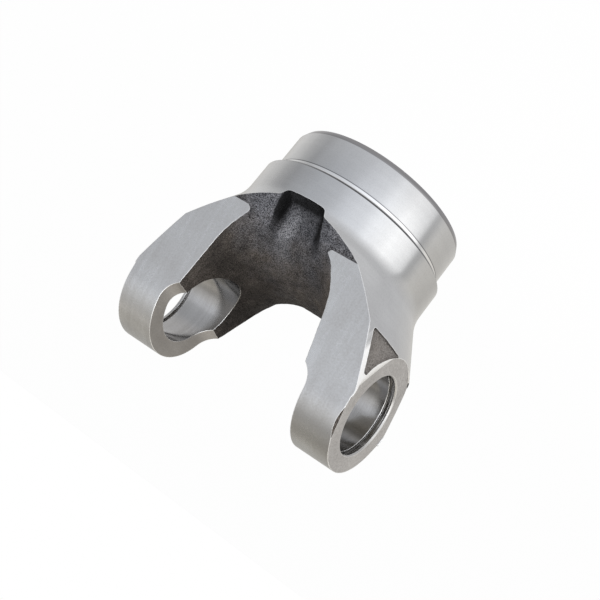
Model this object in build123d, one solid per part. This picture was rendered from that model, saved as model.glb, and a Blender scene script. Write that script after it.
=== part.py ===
from build123d import *
import os
from math import cos, hypot, radians, sin, tan

# Weld yoke of a propeller shaft joint, one forged and machined piece.
# Millimetres. The yoke stands on its hub end: Z runs along the tube axis
# towards the ears, X is the axis of the cross bore, the origin is the
# centre of the hub's end face.

# Cross bore and the ears round it
BORE_D = 30.18            # bearing cap seat
EAR_SPAN = 98.0           # over the two spot faces
EAR_GAP = 66.0            # between the milled inner faces
JOINT_H = 71.8            # cross bore axis above the hub end
TIP_WALL = 6.7            # metal round the bore at the ear tip
SIDE_TAPER = 16.1         # degrees, each side flat to the tube axis
FLAT_LEN = 33.6           # side flats end this far below the bore axis
SPOT_OVER = 0.3           # spot face radius beyond the tip radius
SNAP_SETBACK = 2.96       # spot face to the groove's inner wall
SNAP_W = 1.6              # groove width along the bore
SNAP_DEPTH = 0.9          # groove depth in the bore wall
BORE_EASE = 0.5           # chamfer at both mouths of the bore

# Hub turned to take the tube
PILOT_D = 72.0            # fits inside the tube
PILOT_LEN = 16.9          # hub end to the weld shoulder
PILOT_EASE = 1.1          # chamfer on the hub end
PILOT_ROOT = 1.0          # slope between pilot and shoulder
SHOULDER_W = 2.75         # step from pilot to collar
SHOULDER_EASE = 0.9       # bevel on the collar's edge
COLLAR_RISE = 15.2        # weld shoulder to the foot of the flare
FLARE_R = 16.0            # fillet between collar and flare
SWING_CLEAR = 0.45        # swing turning beyond the ear corners
SWING_DROP = 3.9          # swing radius lost between bore axis and flare
KINK_RISE = 1.4           # flare ends this much nearer the bore than the tip radius

# Forged web, throat and the two pockets
THROAT_DEPTH = 23.15      # bore axis to the throat floor in mid plane
THROAT_ARCH_R = 44.5      # arch of the throat floor towards both sides
THROAT_HALF_W = 24.8      # half width in mid plane at the bore's lower edge
THROAT_BELLY = 0.0010     # half width gained per square of the side distance
THROAT_LEAN = 0.213       # flanks open towards the tips, run over rise
THROAT_R = 20.7           # corner between flank and floor
THROAT_STEPS = 8          # lofted spans between the throat's sections
WEB_ANGLE = 42.5          # degrees, web slope to the tube axis
SLOT_DROP = 0.3           # milled slot floor below the bore axis
SLOT_R = 8.5              # corner of the milled slot
POCKET_HALF_W = 8.7       # at the collar's surface, along the back wall
POCKET_SPLAY = 11.0       # degrees, side walls open towards the throat
POCKET_RISE = 11.7        # weld shoulder to the pocket's back wall
POCKET_DEPTH = 7.5        # collar surface to the floor at the back wall
POCKET_FLOOR = 21.0       # degrees, pocket floor to the tube axis
POCKET_R = 2.3            # upright corners of the pocket
POCKET_DRAFT = 8.0        # degrees
POCKET_LEAD = 6.0         # pocket tool starts this far outside the collar

# Raw forged patch left on the outside of each ear
PATCH_DEPTH = 1.2
PATCH_ANGLE = 15.5        # degrees, patch edge to the tube axis
PATCH_STRIP = 2.0         # turned strip left beside the side flat
PATCH_STEP = 0.3          # patch starts this far above the flare's end
PATCH_TOP = 6.0           # patch edge runs on to this far below the bore axis
CORNER_DEPTH = 0.9        # raw corner left on one rim of each ear, off the radius
CORNER_LIFT = 32.0        # degrees, raw corner above the side of the ear

# Cavity in the hub, open to the tube
HUB_WALL = 7.0            # metal at the hub end
WEB_THICK = 20.0          # cavity floor to throat floor
CAVITY_DRAFT = 9.0        # degrees
CAVITY_R = 7.0            # corner of the cavity floor

REACH = 20.0              # how far cutting tools run past the metal

# Sizes that follow
bore_r = BORE_D / 2
face_x = EAR_SPAN / 2
tip_r = bore_r + TIP_WALL
tip_z = JOINT_H + tip_r
pilot_r = PILOT_D / 2
collar_r = pilot_r + SHOULDER_W
swing_r = hypot(face_x, tip_r) + SWING_CLEAR
kink_r = swing_r - SWING_DROP
kink_drop = tip_r - KINK_RISE
kink_z = JOINT_H - kink_drop
flare_z = PILOT_LEN + COLLAR_RISE
far_x = face_x + REACH
far_y = collar_r + REACH


def side_y(drop):
    """Half width of an ear, a given distance below the bore axis."""
    return (tip_r + drop * sin(radians(SIDE_TAPER))) / cos(radians(SIDE_TAPER))


def web_drop(y):
    """Drop of the forged web slope at a distance from the mid plane."""
    return FLAT_LEN + (y - side_y(FLAT_LEN)) / tan(radians(WEB_ANGLE))


def swing_at(drop):
    """Radius of the swing turning, a given distance below the bore axis."""
    return swing_r - SWING_DROP * drop / kink_drop


# Turned outside: pilot, shoulder, collar, flare and swing
turned = make_face(Polyline(
    (0, 0),
    (pilot_r - PILOT_EASE, 0),
    (pilot_r, PILOT_EASE),
    (pilot_r, PILOT_LEN - PILOT_ROOT),
    (pilot_r + PILOT_ROOT, PILOT_LEN),
    (collar_r - SHOULDER_EASE, PILOT_LEN),
    (collar_r, PILOT_LEN + SHOULDER_EASE),
    (collar_r, flare_z),
    (kink_r, kink_z),
    (swing_r, JOINT_H),
    (swing_r, tip_z + REACH),
    (0, tip_z + REACH),
    close=True,
))


def corner_at(face, x, y):
    """The corner of a profile nearest to a point."""
    return face.vertices().sort_by(lambda v: hypot(v.X - x, v.Y - y))[0]


turned = fillet(corner_at(turned, collar_r, flare_z), FLARE_R)
turned_body = revolve(Plane.XZ * turned, Axis.Z)

# Ear outline seen along the bore: round tip, side flats, web slope, hub
tip_y = tip_r * cos(radians(SIDE_TAPER))
tip_up = tip_r * sin(radians(SIDE_TAPER))
flat_y = side_y(FLAT_LEN)
right_side = Polyline(
    (tip_y, JOINT_H + tip_up),
    (flat_y, JOINT_H - FLAT_LEN),
    (far_y, JOINT_H - web_drop(far_y)),
    (far_y, 0),
    (-far_y, 0),
    (-far_y, JOINT_H - web_drop(far_y)),
    (-flat_y, JOINT_H - FLAT_LEN),
    (-tip_y, JOINT_H + tip_up),
)
tip_arc = ThreePointArc((-tip_y, JOINT_H + tip_up), (0, tip_z), (tip_y, JOINT_H + tip_up))
outline = make_face(Curve() + [right_side, tip_arc])
outline_body = extrude(Plane.YZ * outline, far_x, both=True)
yoke = turned_body & outline_body

# Spot faces at the ears
spot_r = tip_r + SPOT_OVER
for side in (1, -1):
    spot = Pos(side * face_x, 0, JOINT_H) * Rot(0, side * 90, 0) * Cylinder(
        spot_r, REACH, align=(Align.CENTER, Align.CENTER, Align.MIN))
    yoke -= spot

# Raw forged corner left on one rim of each ear, the second half a turn from the first
corner = Pos(0, 0, -CORNER_DEPTH) * Rot(0, 45, 0) * Box(
    REACH, REACH, REACH, align=(Align.CENTER, Align.CENTER, Align.MIN))
corner = Pos(face_x, 0, JOINT_H) * Rot(CORNER_LIFT - 90, 0, 0) * Pos(0, 0, tip_r) * corner
for half_turn in (0, 180):
    yoke -= Rot(0, 0, half_turn) * corner

# Raw forged patches beside the spot faces
patch_low = kink_drop - PATCH_STEP
patch_ring = make_face(Polyline(
    (swing_at(patch_low) - PATCH_DEPTH, JOINT_H - patch_low),
    (swing_at(patch_low) + REACH, JOINT_H - patch_low),
    (swing_at(PATCH_TOP) + REACH, JOINT_H - PATCH_TOP),
    (swing_at(PATCH_TOP) - PATCH_DEPTH, JOINT_H - PATCH_TOP),
    close=True,
))
patch_y0 = side_y(kink_drop) - PATCH_STRIP
patch_y1 = patch_y0 - (kink_drop - PATCH_TOP) * tan(radians(PATCH_ANGLE))
patch_outline = make_face(Polyline(
    (patch_y0, JOINT_H - kink_drop),
    (patch_y1, JOINT_H - PATCH_TOP),
    (-patch_y1, JOINT_H - PATCH_TOP),
    (-patch_y0, JOINT_H - kink_drop),
    close=True,
))
patch = revolve(Plane.XZ * patch_ring, Axis.Z) & extrude(Plane.YZ * patch_outline, far_x, both=True)
patch -= Pos(0, 0, JOINT_H) * Rot(0, 90, 0) * Cylinder(spot_r, 2 * far_x)
yoke -= patch


# Forged throat: sections across the yoke, deeper towards both sides
def throat_section(y):
    """Outline of the throat in the plane a given distance from mid plane."""
    floor = JOINT_H - THROAT_DEPTH - y ** 2 / (2 * THROAT_ARCH_R)
    half = THROAT_HALF_W + THROAT_BELLY * y ** 2
    top = tip_z + REACH
    ref = JOINT_H - bore_r
    low_x = half + THROAT_LEAN * (floor - ref)
    top_x = half + THROAT_LEAN * (top - ref)
    face = make_face(Polyline(
        (-top_x, top), (-low_x, floor), (low_x, floor), (top_x, top), close=True))
    low = face.vertices().sort_by(Axis.Y)[:2]
    return Plane(origin=(0, y, 0), x_dir=(1, 0, 0), z_dir=(0, -1, 0)) * fillet(low, THROAT_R)


throat_reach = collar_r + THROAT_R
throat_faces = [
    throat_section(throat_reach * (2 * i / THROAT_STEPS - 1)) for i in range(THROAT_STEPS + 1)
]
throat = loft(throat_faces)
yoke -= throat

# Milled slot between the ear tips
slot_h = tip_r + SLOT_DROP + REACH
slot = Pos(0, 0, JOINT_H - SLOT_DROP) * Box(
    EAR_GAP, 2 * far_y, slot_h, align=(Align.CENTER, Align.CENTER, Align.MIN))
slot = fillet(slot.edges().filter_by(Axis.Y).group_by(Axis.Z)[0], SLOT_R)
yoke -= slot

# Pockets in the web, one each side
back_z = PILOT_LEN + POCKET_RISE
lead_w = POCKET_LEAD * tan(radians(POCKET_DRAFT))
front_w = far_y * tan(radians(POCKET_SPLAY))
pocket_plan = make_face(Polyline(
    (-POCKET_HALF_W - lead_w, back_z - lead_w),
    (POCKET_HALF_W + lead_w, back_z - lead_w),
    (POCKET_HALF_W + lead_w + front_w, back_z - lead_w + far_y),
    (-POCKET_HALF_W - lead_w - front_w, back_z - lead_w + far_y),
    close=True,
))
pocket_plan = fillet(pocket_plan.vertices().sort_by(Axis.Y)[:2], POCKET_R)
floor_y = collar_r - POCKET_DEPTH
floor_z = back_z + POCKET_DEPTH * tan(radians(POCKET_DRAFT))
floor_run = far_y * tan(radians(POCKET_FLOOR))
floor_face = make_face(Polyline(
    (floor_y + floor_run, floor_z - far_y),
    (floor_y + floor_run + far_y, floor_z - far_y),
    (floor_y + floor_run + far_y, floor_z + far_y),
    (floor_y - floor_run, floor_z + far_y),
    close=True,
))
above_floor = extrude(Plane.YZ * floor_face, far_x, both=True)
pocket_top = Plane(origin=(0, collar_r + POCKET_LEAD, 0), x_dir=(1, 0, 0), z_dir=(0, -1, 0))
pocket = extrude(pocket_top * pocket_plan, amount=collar_r, taper=POCKET_DRAFT)
pocket &= above_floor
yoke -= pocket
yoke -= mirror(pocket, Plane.XZ)

# Hub cavity
cavity_h = JOINT_H - THROAT_DEPTH - WEB_THICK
cavity_r = pilot_r - HUB_WALL
cavity_top_r = cavity_r - cavity_h * tan(radians(CAVITY_DRAFT))
cavity = make_face(Polyline(
    (0, -REACH), (cavity_r, -REACH), (cavity_r, 0), (cavity_top_r, cavity_h), (0, cavity_h), close=True))
cavity = fillet(corner_at(cavity, cavity_top_r, cavity_h), CAVITY_R)
yoke -= revolve(Plane.XZ * cavity, Axis.Z)

# Cross bore with its snap ring grooves and eased mouths
across = Pos(0, 0, JOINT_H) * Rot(0, 90, 0)
yoke -= across * Cylinder(bore_r, 2 * far_x)
groove_x = face_x - SNAP_SETBACK
for side in (1, -1):
    groove = Pos(side * (groove_x + SNAP_W / 2), 0, JOINT_H) * Rot(0, 90, 0)
    yoke -= groove * Cylinder(bore_r + SNAP_DEPTH, SNAP_W)
    mouth = Pos(side * face_x, 0, JOINT_H) * Rot(0, -side * 90, 0)
    yoke -= mouth * Cone(bore_r + BORE_EASE, bore_r, BORE_EASE,
                         align=(Align.CENTER, Align.CENTER, Align.MIN))

os.makedirs("parts", exist_ok=True)
print("solids", len(yoke.solids()), "volume", round(yoke.volume), "box", yoke.bounding_box())
export_step(yoke, "parts/yoke.step")
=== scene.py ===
# %% [markdown]
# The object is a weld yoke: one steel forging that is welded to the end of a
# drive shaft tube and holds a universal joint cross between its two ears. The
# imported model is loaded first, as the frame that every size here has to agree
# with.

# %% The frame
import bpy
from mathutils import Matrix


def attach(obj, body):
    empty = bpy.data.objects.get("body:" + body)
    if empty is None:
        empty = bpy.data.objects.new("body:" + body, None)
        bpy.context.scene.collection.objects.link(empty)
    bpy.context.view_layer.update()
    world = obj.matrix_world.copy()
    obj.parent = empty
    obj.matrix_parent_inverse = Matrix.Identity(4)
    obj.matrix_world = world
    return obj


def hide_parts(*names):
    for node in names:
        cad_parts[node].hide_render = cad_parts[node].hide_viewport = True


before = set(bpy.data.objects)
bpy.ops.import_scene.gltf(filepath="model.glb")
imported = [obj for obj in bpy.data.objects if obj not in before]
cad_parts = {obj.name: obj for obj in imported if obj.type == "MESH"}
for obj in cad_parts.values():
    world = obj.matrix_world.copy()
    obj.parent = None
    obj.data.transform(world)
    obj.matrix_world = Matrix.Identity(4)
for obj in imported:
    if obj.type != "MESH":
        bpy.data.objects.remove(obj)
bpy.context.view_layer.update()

# %% [markdown]
# The photograph looks down on the ears with the hub away from the viewer, so
# the camera is tilted and rolled. Its place was worked out from the round
# rims, which show as ellipses: a circle of known size gives distance and
# angle at once. The three axes of the camera are written as the rows of a
# turn, which is plainer than three angles for a view that is rolled so far.

# %% The camera
import bpy
from mathutils import Matrix, Vector

FRAME_PX = 600
FOCAL_PX = 1112.8
SENSOR = 36.0
eye = Vector((-0.18596, -0.33954, 0.14734))
eye_right = Vector((-0.76262, 0.24201, -0.59987))
eye_up = Vector((0.45105, -0.46575, -0.76133))
eye_back = Vector((-0.46364, -0.85118, 0.24603))

lens = bpy.data.cameras.new("studio_lens")
lens.sensor_width = SENSOR
lens.lens = FOCAL_PX / FRAME_PX * SENSOR
camera = bpy.data.objects.new("studio_camera", lens)
bpy.context.scene.collection.objects.link(camera)
turn = Matrix((eye_right, eye_up, eye_back)).transposed().to_4x4()
camera.matrix_world = Matrix.Translation(eye) @ turn
bpy.context.scene.camera = camera
print("camera lens", round(lens.lens, 2), "mm")

# %% [markdown]
# A forging like this is a rough hot shape that machine tools then cut into,
# so it shows six finishes: turned on the lathe, milled flat, slotted between
# the ears, faced round the bore, bored, and the raw forged skin. Each one is a
# material of its own. They are only named here and get their nodes further
# down, because the cutting shapes carry them: where a shape cuts the metal, the
# new face keeps the finish of the shape that cut it, just as a face keeps the
# marks of its tool.

# %% The six finishes, by name
finish = {}
for trade in ("turned", "milled", "slotted", "faced", "bored", "forged"):
    finish[trade] = bpy.data.materials.new(trade + "_steel")
    finish[trade].use_nodes = True
print("finishes", sorted(finish))

# %% [markdown]
# Most shapes here start as a drawn line: one vertex is set down, then pulled
# out again and again with extrude until the outline stands. A curve object
# could hold the outline too, but a line of edges can be spun, filled and pulled
# with the plain modelling tools. All sizes are written in millimetres and all
# angles in degrees, as on a workshop drawing.

# %% Drawing a line
MM = 0.001


def deselect_all():
    if bpy.context.object and bpy.context.object.mode != "OBJECT":
        bpy.ops.object.mode_set(mode="OBJECT")
    bpy.ops.object.select_all(action="DESELECT")


def draw_line(name, points):
    """Extrudes one vertex along points in millimetres and stays in edit mode."""
    deselect_all()
    bpy.ops.mesh.primitive_plane_add(size=MM)
    piece = bpy.context.object
    piece.name = name
    bpy.ops.object.mode_set(mode="EDIT")
    bpy.ops.mesh.merge(type="CENTER")
    bpy.ops.transform.translate(value=Vector(points[0]) * MM)
    for here, there in zip(points, points[1:]):
        step = (Vector(there) - Vector(here)) * MM
        bpy.ops.mesh.extrude_region_move(TRANSFORM_OT_translate={"value": step})
    return piece


print("lines are drawn in units of", MM, "m")

# %% [markdown]
# Rounded corners are worked out on the line itself, so that a radius is a true
# arc. A bevel modifier could round the solid later, but it is hard to aim at
# one edge among many.

# %% Round corners
from math import cos, exp, hypot, pi, radians, sin, tan


def round_corner(before, corner, after, radius, steps):
    """Points of the arc that replaces a corner between two straight lines."""
    corner = Vector(corner)
    back = (Vector(before) - corner).normalized()
    ahead = (Vector(after) - corner).normalized()
    half = back.angle(ahead) / 2
    middle = corner + (back + ahead).normalized() * (radius / sin(half))
    start = corner + back * (radius / tan(half)) - middle
    end = corner + ahead * (radius / tan(half)) - middle
    sweep = start.angle(end)
    arc = []
    for i in range(steps + 1):
        t = sweep * i / steps
        ray = (start * sin(sweep - t) + end * sin(t)) / sin(sweep)
        arc.append(tuple(middle + ray))
    return arc


print("round corners ready")

# %% [markdown]
# A drawn line becomes a solid in one of two ways: it is spun about an axis, as
# a lathe does, or filled and pulled into a bar. Both can leave faces that look
# inwards, so all faces are turned outwards each time, because the cuts that
# follow have to know what is inside.

# %% From line to solid
WELD_GAP = 0.002


def close_shape():
    """Turns all faces outwards and leaves edit mode."""
    bpy.ops.mesh.select_all(action="SELECT")
    bpy.ops.mesh.normals_make_consistent(inside=False)
    bpy.ops.object.mode_set(mode="OBJECT")


def fill_line():
    """Fills the drawn line with one face."""
    bpy.ops.mesh.select_all(action="SELECT")
    bpy.ops.mesh.edge_face_add()


def spin_round(steps, axis=(0, 0, 1), height=0.0):
    """Turns the drawn line about an axis into a closed shell."""
    bpy.ops.mesh.select_all(action="SELECT")
    bpy.ops.mesh.spin(steps=steps, angle=2 * pi, center=(0, 0, height * MM), axis=axis)
    bpy.ops.mesh.select_all(action="SELECT")
    bpy.ops.mesh.remove_doubles(threshold=WELD_GAP * MM)
    close_shape()


def pull_bar(reach):
    """Fills the drawn line and pulls it along a vector into a closed bar."""
    fill_line()
    bpy.ops.mesh.extrude_region_move(TRANSFORM_OT_translate={"value": Vector(reach) * MM})
    close_shape()


print("points closer than", WELD_GAP, "mm become one")

# %% [markdown]
# Metal is taken away as in the workshop: a tool shape is laid in place, and a
# Boolean modifier cuts with it. The exact solver copes with faces that touch,
# and in the material mode Transfer a cut face takes the finish of its tool.

# %% Cutting
def pick(piece):
    """Selects one piece alone and makes it the active one."""
    deselect_all()
    bpy.context.view_layer.objects.active = piece
    piece.select_set(True)


def use_modifier(piece, kind, **settings):
    """Adds one modifier, sets it up and applies it."""
    pick(piece)
    step = piece.modifiers.new(kind.lower(), kind)
    for key, value in settings.items():
        setattr(step, key, value)
    bpy.ops.object.modifier_apply(modifier=step.name)


def machine(metal, tool, how="DIFFERENCE"):
    """Cuts the metal with a tool shape and clears the tool away."""
    use_modifier(metal, "BOOLEAN", operation=how, solver="EXACT",
                 material_mode="TRANSFER", object=tool)
    bpy.data.objects.remove(tool)


print("cutting ready")

# %% [markdown]
# On the lathe the forging gets its hub: the pilot that fits inside the tube,
# the shoulder the tube butts against, the collar, and a flare that runs out to
# the swing of the ears. Its sizes come first, because the ears take theirs
# from it.

# %% Sizes of the blank
BORE_D, EAR_SPAN, JOINT_H, TIP_WALL, REACH = 30.18, 98.0, 71.8, 6.7, 20.0
PILOT_D, PILOT_LEN, PILOT_EASE, PILOT_LEAD, PILOT_ROOT = 72.0, 16.9, 1.1, 2.2, 1.0
SHOULDER_W, SHOULDER_EASE, COLLAR_RISE, FLARE_R = 2.75, 0.9, 15.2, 16.0
SWING_CLEAR, SWING_DROP, KINK_RISE = 0.45, 3.9, 1.4

bore_r = BORE_D / 2
face_x = EAR_SPAN / 2
tip_r = bore_r + TIP_WALL
tip_z = JOINT_H + tip_r
pilot_r = PILOT_D / 2
collar_r = pilot_r + SHOULDER_W
swing_r = hypot(face_x, tip_r) + SWING_CLEAR
kink_r = swing_r - SWING_DROP
kink_drop = tip_r - KINK_RISE
flare_foot = (collar_r, 0, PILOT_LEN + COLLAR_RISE)
flare_end = (kink_r, 0, JOINT_H - kink_drop)
print("swing of the ears", round(swing_r, 2), "mm, collar", round(collar_r, 2), "mm")

# %% [markdown]
# A lathe part is one half outline spun about its axis. It is spun here in fine
# steps, because a bright turned face shows every corner of a coarse circle in
# its reflections.

# %% Turned blank
TURN_STEPS, FLARE_STEPS = 288, 12
half_outline = [
    (0, 0, 0),
    (pilot_r - PILOT_EASE, 0, 0),
    (pilot_r, 0, PILOT_LEAD),
    (pilot_r, 0, PILOT_LEN - PILOT_ROOT),
    (pilot_r + PILOT_ROOT, 0, PILOT_LEN),
    (collar_r - SHOULDER_EASE, 0, PILOT_LEN),
    (collar_r, 0, PILOT_LEN + SHOULDER_EASE),
]
half_outline += round_corner(half_outline[-1], flare_foot, flare_end, FLARE_R, FLARE_STEPS)
half_outline += [
    flare_end,
    (swing_r, 0, JOINT_H),
    (swing_r, 0, tip_z + REACH),
    (0, 0, tip_z + REACH),
]
yoke = draw_line("weld_yoke", half_outline)
spin_round(TURN_STEPS)
yoke.data.materials.append(finish["turned"])
print("turned blank", len(yoke.data.polygons), "faces")

# %% [markdown]
# Seen along the cross bore, each ear has a round tip, two flats that open out
# towards the hub, and below them the sloping web. The flats are milled, the
# web is left as forged. The outline is drawn in that view, pulled through the
# whole width as a bar, and the blank keeps only what lies inside the bar.

# %% Ear outline
SIDE_TAPER, FLAT_LEN, WEB_ANGLE = 16.1, 33.6, 42.5
TIP_STEPS = 40
far_x = face_x + REACH
far_y = collar_r + REACH
taper = radians(SIDE_TAPER)
slope = radians(WEB_ANGLE)


def side_y(drop):
    return (tip_r + drop * sin(taper)) / cos(taper)


def web_z(y):
    return JOINT_H - FLAT_LEN - (y - side_y(FLAT_LEN)) / tan(slope)


flat_y = side_y(FLAT_LEN)
tip_arc = []
for i in range(TIP_STEPS + 1):
    lift = taper + (pi - 2 * taper) * i / TIP_STEPS
    tip_arc.append((-far_x, tip_r * cos(lift), JOINT_H + tip_r * sin(lift)))
ear_outline = tip_arc + [
    (-far_x, -flat_y, JOINT_H - FLAT_LEN),
    (-far_x, -far_y, web_z(far_y)),
    (-far_x, -far_y, -REACH),
    (-far_x, far_y, -REACH),
    (-far_x, far_y, web_z(far_y)),
    (-far_x, flat_y, JOINT_H - FLAT_LEN),
]
outline_bar = draw_line("ear_outline", ear_outline)
pull_bar((2 * far_x, 0, 0))
outline_bar.data.materials.append(finish["milled"])
outline_bar.data.materials.append(finish["forged"])
web_faces = 0
for face in outline_bar.data.polygons:
    if face.center.z < (JOINT_H - FLAT_LEN) * MM and abs(face.normal.x) < 0.5:
        face.material_index = 1
        web_faces += 1
machine(yoke, outline_bar, "INTERSECT")
print("ears outlined,", web_faces, "web faces,", len(yoke.data.polygons), "faces")

# %% [markdown]
# Next come the cuts with round tools. A spot facer levels the outside of each
# ear round the bore. It is a cylinder that lies along the cross bore and takes
# away all that stands outside the face of the ear.

# %% Spot faces
SPOT_OVER = 0.3
BORE_STEPS = 192


def round_tool(name, trade, radius, length, x):
    """A round tool that runs along the cross bore."""
    deselect_all()
    bpy.ops.mesh.primitive_cylinder_add(
        vertices=BORE_STEPS, radius=radius * MM, depth=length * MM,
        location=(x * MM, 0, JOINT_H * MM), rotation=(0, pi / 2, 0))
    bpy.ops.object.transform_apply(location=True, rotation=True, scale=True)
    tool = bpy.context.object
    tool.name = name
    tool.data.materials.append(finish[trade])
    return tool


spot_r = tip_r + SPOT_OVER
for side in (1, -1):
    machine(yoke, round_tool("spot_facer", "faced", spot_r, REACH, side * (face_x + REACH / 2)))
print("spot faces,", len(yoke.data.polygons), "faces")

# %% [markdown]
# The bore goes straight through both ears, and near each mouth it has a groove
# for a snap ring and a small chamfer. They could be cut one after the other. One
# spun shape with the outline of all three is better here, because each extra cut
# leaves a chance of slivers.

# %% Bore, grooves and chamfers
SNAP_SETBACK, SNAP_W, SNAP_DEPTH, BORE_EASE = 2.96, 1.6, 0.9, 0.5
bore_half = [
    (face_x - SNAP_SETBACK, bore_r),
    (face_x - SNAP_SETBACK, bore_r + SNAP_DEPTH),
    (face_x - SNAP_SETBACK + SNAP_W, bore_r + SNAP_DEPTH),
    (face_x - SNAP_SETBACK + SNAP_W, bore_r),
    (face_x - BORE_EASE, bore_r),
    (face_x + BORE_EASE, bore_r + 2 * BORE_EASE),
    (far_x, bore_r + 2 * BORE_EASE),
    (far_x, 0),
]
bore_line = [(-x, 0, JOINT_H + r) for x, r in reversed(bore_half)]
bore_line += [(x, 0, JOINT_H + r) for x, r in bore_half]
boring_bar = draw_line("boring_bar", bore_line)
spin_round(BORE_STEPS, axis=(1, 0, 0), height=JOINT_H)
boring_bar.data.materials.append(finish["bored"])
machine(yoke, boring_bar)
print("bore finished,", len(yoke.data.polygons), "faces")

# %% [markdown]
# A wide milling cutter opens the slot between the ear tips, where the bearing
# caps of the cross have to pass. Its rounded edge leaves the corner at the
# bottom, and the flat inner faces of the ears run out in it. The outline is
# drawn in the front view with two rounded corners and pulled along the slot.

# %% Milled slot
EAR_GAP, SLOT_DROP, SLOT_R, SLOT_STEPS = 66.0, 0.3, 8.5, 16
half_gap = EAR_GAP / 2
slot_low = JOINT_H - SLOT_DROP
slot_top = tip_z + REACH
top_left, low_left = (-half_gap, -far_y, slot_top), (-half_gap, -far_y, slot_low)
low_right, top_right = (half_gap, -far_y, slot_low), (half_gap, -far_y, slot_top)
slot_outline = [top_left]
slot_outline += round_corner(top_left, low_left, low_right, SLOT_R, SLOT_STEPS)
slot_outline += round_corner(low_left, low_right, top_right, SLOT_R, SLOT_STEPS)
slot_outline.append(top_right)
slot_cutter = draw_line("slot_cutter", slot_outline)
pull_bar((0, 2 * far_y, 0))
slot_cutter.data.materials.append(finish["slotted"])
machine(yoke, slot_cutter)
print("slot milled,", len(yoke.data.polygons), "faces")

# %% [markdown]
# The rest of the surface comes from the forging die, and that skin is never
# smooth: scale and the worn die leave a coarse grain with soft dents in it.
# Bump alone would look painted on at the rims, so the skin is real shape. Each
# die shape is cut into small even cells with a voxel remesh and then pushed in
# and out by two noises, one for the dents and one for the grain. Where such a
# shape meets a machined face the edge comes out slightly ragged, as it should.

# %% Forged skin
SKIN_CELL, SKIN_ROUNDS, RUB_SHARE, SKIN_LAYERS = 0.55, 2, 0.5, 2
DENT_SIZE, DENT_DEPTH = 7.0, 0.30
GRAIN_SIZE, GRAIN_DEPTH = 1.5, 0.22


def noise_field(name, size):
    field = bpy.data.textures.new(name, "CLOUDS")
    field.noise_scale = size * MM
    field.noise_depth = SKIN_LAYERS
    return field


dents = noise_field("die_dents", DENT_SIZE)
grain = noise_field("scale_grain", GRAIN_SIZE)


def even_skin(die, cell, rounds):
    """Cuts a die into even cells and rubs its edges round."""
    use_modifier(die, "REMESH", mode="VOXEL", voxel_size=cell * MM)
    use_modifier(die, "SMOOTH", factor=RUB_SHARE, iterations=rounds)


def roughen(die, cell=SKIN_CELL, rounds=SKIN_ROUNDS):
    """Gives a die shape its forged skin."""
    even_skin(die, cell, rounds)
    for field, depth in ((dents, DENT_DEPTH), (grain, GRAIN_DEPTH)):
        use_modifier(die, "DISPLACE", texture=field, texture_coords="LOCAL",
                     strength=depth * MM, mid_level=0.5)
    die.data.materials.clear()
    die.data.materials.append(finish["forged"])
    print(die.name, "has", len(die.data.polygons), "skin cells")


print("forged skin in cells of", SKIN_CELL, "mm")

# %% [markdown]
# Outside, between spot face and flare, each ear keeps a three-cornered patch
# that the lathe never reached. On the real yoke it lies a little lower than
# the turned strip beside it. It is made as a thick turned ring, trimmed to its
# outline and cleared of the spot face, and that block is then roughened.

# %% Forged patches
PATCH_DEPTH, PATCH_ANGLE, PATCH_STRIP = 1.2, 15.5, 2.0
PATCH_STEP, PATCH_TOP = 0.3, 6.0


def swing_at(drop):
    return swing_r - SWING_DROP * drop / kink_drop


patch_low = kink_drop - PATCH_STEP
patch_y0 = side_y(kink_drop) - PATCH_STRIP
patch_y1 = patch_y0 - (kink_drop - PATCH_TOP) * tan(radians(PATCH_ANGLE))
patch_tool = draw_line("patch_die", [
    (swing_at(patch_low) - PATCH_DEPTH, 0, JOINT_H - patch_low),
    (swing_r + REACH, 0, JOINT_H - patch_low),
    (swing_r + REACH, 0, JOINT_H - PATCH_TOP),
    (swing_at(PATCH_TOP) - PATCH_DEPTH, 0, JOINT_H - PATCH_TOP),
    (swing_at(patch_low) - PATCH_DEPTH, 0, JOINT_H - patch_low),
])
spin_round(TURN_STEPS)
patch_trim = draw_line("patch_trim", [
    (-2 * far_x, patch_y0, JOINT_H - kink_drop),
    (-2 * far_x, patch_y1, JOINT_H - PATCH_TOP),
    (-2 * far_x, -patch_y1, JOINT_H - PATCH_TOP),
    (-2 * far_x, -patch_y0, JOINT_H - kink_drop),
])
pull_bar((4 * far_x, 0, 0))
machine(patch_tool, patch_trim, "INTERSECT")
machine(patch_tool, round_tool("ring_guard", "forged", spot_r, 4 * far_x, 0))
roughen(patch_tool)
machine(yoke, patch_tool)
print("patches forged,", len(yoke.data.polygons), "faces")

# %% [markdown]
# At one place on the rim of each ear the forging was not quite full, so the
# facing tool left a small dark chip of raw skin at the corner. A cube, stood
# on its edge and sunk a little into the rim, takes such a corner off.

# %% Raw corners
CORNER_DEPTH, CORNER_LIFT = 0.75, 32.0
for side in (1, -1):
    lift = radians(CORNER_LIFT)
    out = Vector((0, side * cos(lift), sin(lift)))
    along_bore = Vector((side, 0, 0))
    outward = (out + along_bore).normalized()
    rim = along_bore * face_x + Vector((0, 0, JOINT_H)) + out * (tip_r - CORNER_DEPTH)
    across = outward.cross(along_bore).normalized()
    stand = Matrix((across, outward.cross(across), outward)).transposed()
    deselect_all()
    bpy.ops.mesh.primitive_cube_add(size=REACH * MM, location=(rim + outward * REACH / 2) * MM,
                                    rotation=stand.to_euler())
    bpy.ops.object.transform_apply(location=True, rotation=True, scale=True)
    chip = bpy.context.object
    chip.name = "corner_chip"
    chip.data.materials.append(finish["forged"])
    machine(yoke, chip)
print("raw corners,", len(yoke.data.polygons), "faces")

# %% [markdown]
# A form that changes from end to end is laid over ribs, as a boat's skin is: the
# sections are drawn one by one, joined into one object, and bridged.

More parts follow.
